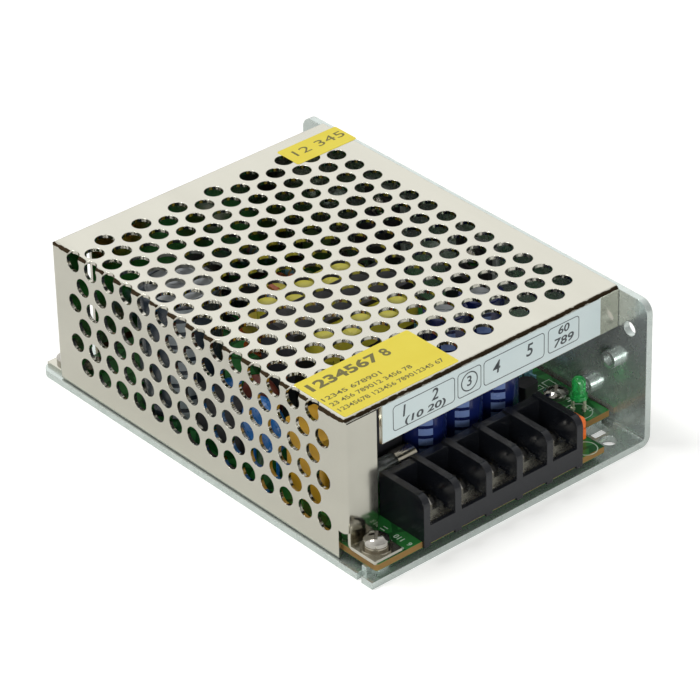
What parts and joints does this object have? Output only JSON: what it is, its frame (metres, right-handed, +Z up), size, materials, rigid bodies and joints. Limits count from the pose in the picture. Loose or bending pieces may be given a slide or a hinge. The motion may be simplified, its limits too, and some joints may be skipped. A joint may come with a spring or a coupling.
{
  "type": "mesh case switching power supply",
  "caption": "Small enclosed power supply: folded aluminium base with a side wall, perforated steel cover, screw terminal block, lamp and voltage adjuster at the front.",
  "frame": {"origin": "centre of the case's footprint, on the underside of the base", "axes": "+X towards the aluminium side wall, -Y towards the terminals, +Z up"},
  "size_m": [0.078, 0.11, 0.0361],
  "materials": {
    "chassis_aluminium": "matte mill-finish aluminium sheet, bent",
    "cover_plated_steel": "satin tin-plated steel sheet, punched and folded",
    "insulating_film": "clear polyester film",
    "circuit_board": "green solder mask on a brown phenolic board",
    "nickel_screws": "nickel-plated steel",
    "nickel_washers": "nickel-plated steel, stamped",
    "label_film": "pale blue-grey printed film",
    "yellow_sticker": "yellow paper label",
    "black_plastic": "glossy black moulded plastic",
    "tinned_contacts": "tin-plated brass",
    "fuse_glass": "clear glass tube",
    "plated_caps": "nickel-plated brass",
    "brown_coating": "red-brown epoxy coating",
    "blue_coating": "blue epoxy coating",
    "yellow_case": "yellow plastic box",
    "ferrite": "sintered ferrite",
    "copper_wire": "enamelled copper wire",
    "grey_sleeve": "blue-grey shrink sleeve on an aluminium can",
    "blue_sleeve": "dark blue shrink sleeve on an aluminium can",
    "yellow_tape": "yellow polyester tape",
    "pad_silicone": "grey silicone pad",
    "powder_core": "yellow coated iron powder",
    "white_plastic": "white moulded plastic",
    "resistor_body": "lacquered ceramic",
    "green_coating": "green dipped film",
    "green_lens": "green tinted epoxy",
    "orange_plastic": "orange moulded plastic",
    "cream_plastic": "cream moulded plastic",
    "solder": "tin solder"
  },
  "bodies": {
    "case": {"chassis": "chassis_aluminium", "cover": "cover_plated_steel", "insulating_film": "insulating_film", "circuit_board": "circuit_board", "board_fixing_screws": "nickel_screws", "ground_screw": "nickel_screws", "ground_washers": "nickel_washers", "rear_cover_screw": "nickel_screws", "label_strip": "label_film", "front_sticker": "yellow_sticker", "rear_sticker": "yellow_sticker", "terminal_housing": "black_plastic", "terminal_contacts": "tinned_contacts", "fuse_tube": "fuse_glass", "fuse_caps": "plated_caps", "fuse_clips": "tinned_contacts", "inrush_thermistor": "brown_coating", "varistor": "blue_coating", "mains_filter_capacitor": "yellow_case", "line_choke_core": "ferrite", "line_choke_windings": "copper_wire", "safety_capacitors": "blue_coating", "bridge_rectifier": "black_plastic", "reservoir_capacitor": "grey_sleeve", "transformer_core": "ferrite", "transformer_bobbin": "black_plastic", "transformer_winding": "yellow_tape", "power_transistor": "black_plastic", "output_rectifier": "black_plastic", "insulating_pads": "pad_silicone", "wall_screws": "nickel_screws", "output_choke_core": "powder_core", "output_choke_winding": "copper_wire", "tall_output_capacitors": "blue_sleeve", "short_output_capacitors": "blue_sleeve", "control_chip": "black_plastic", "optocoupler": "white_plastic", "voltage_reference": "black_plastic", "resistors": "resistor_body", "small_diodes": "black_plastic", "film_capacitors": "green_coating", "wire_links": "tinned_contacts", "lamp_body": "green_lens", "lamp_leads": "tinned_contacts", "trimmer_body": "orange_plastic", "solder_joints": "solder"},
    "adjuster": {"trimmer_rotor": "cream_plastic"},
    "clamp_1": {"clamp_plate_1": "nickel_washers"},
    "screw_1": {"terminal_screw_1": "nickel_screws"},
    "clamp_2": {"clamp_plate_2": "nickel_washers"},
    "screw_2": {"terminal_screw_2": "nickel_screws"},
    "clamp_3": {"clamp_plate_3": "nickel_washers"},
    "screw_3": {"terminal_screw_3": "nickel_screws"},
    "clamp_4": {"clamp_plate_4": "nickel_washers"},
    "screw_4": {"terminal_screw_4": "nickel_screws"},
    "clamp_5": {"clamp_plate_5": "nickel_washers"},
    "screw_5": {"terminal_screw_5": "nickel_screws"}
  },
  "joints": [
    {"name": "adjuster_turn", "type": "hinge", "parent": "case", "child": "adjuster", "pos_m": [0.02295, -0.049, 0.008], "axis": [0, -1, 0], "range_deg": [-105, 105]},
    {"name": "clamp_lift_1", "type": "slide", "parent": "case", "child": "clamp_1", "axis": [0, 0, 1], "range_m": [0, 0.0025]},
    {"name": "screw_turn_1", "type": "hinge", "parent": "clamp_1", "child": "screw_1", "pos_m": [-0.01975, -0.04875, 0.0092], "axis": [0, 0, 1], "range_deg": [0, 1800]},
    {"name": "clamp_lift_2", "type": "slide", "parent": "case", "child": "clamp_2", "axis": [0, 0, 1], "range_m": [0, 0.0025]},
    {"name": "screw_turn_2", "type": "hinge", "parent": "clamp_2", "child": "screw_2", "pos_m": [-0.01125, -0.04875, 0.0092], "axis": [0, 0, 1], "range_deg": [0, 1800]},
    {"name": "clamp_lift_3", "type": "slide", "parent": "case", "child": "clamp_3", "axis": [0, 0, 1], "range_m": [0, 0.0025]},
    {"name": "screw_turn_3", "type": "hinge", "parent": "clamp_3", "child": "screw_3", "pos_m": [-0.00275, -0.04875, 0.0092], "axis": [0, 0, 1], "range_deg": [0, 1800]},
    {"name": "clamp_lift_4", "type": "slide", "parent": "case", "child": "clamp_4", "axis": [0, 0, 1], "range_m": [0, 0.0025]},
    {"name": "screw_turn_4", "type": "hinge", "parent": "clamp_4", "child": "screw_4", "pos_m": [0.00575, -0.04875, 0.0092], "axis": [0, 0, 1], "range_deg": [0, 1800]},
    {"name": "clamp_lift_5", "type": "slide", "parent": "case", "child": "clamp_5", "axis": [0, 0, 1], "range_m": [0, 0.0025]},
    {"name": "screw_turn_5", "type": "hinge", "parent": "clamp_5", "child": "screw_5", "pos_m": [0.01425, -0.04875, 0.0092], "axis": [0, 0, 1], "range_deg": [0, 1800]}
  ],
  "couplings": [
    {"joint": "screw_turn_1", "follows": "clamp_lift_1", "rad_per_m": 12566},
    {"joint": "screw_turn_2", "follows": "clamp_lift_2", "rad_per_m": 12566},
    {"joint": "screw_turn_3", "follows": "clamp_lift_3", "rad_per_m": 12566},
    {"joint": "screw_turn_4", "follows": "clamp_lift_4", "rad_per_m": 12566},
    {"joint": "screw_turn_5", "follows": "clamp_lift_5", "rad_per_m": 12566}
  ]
}
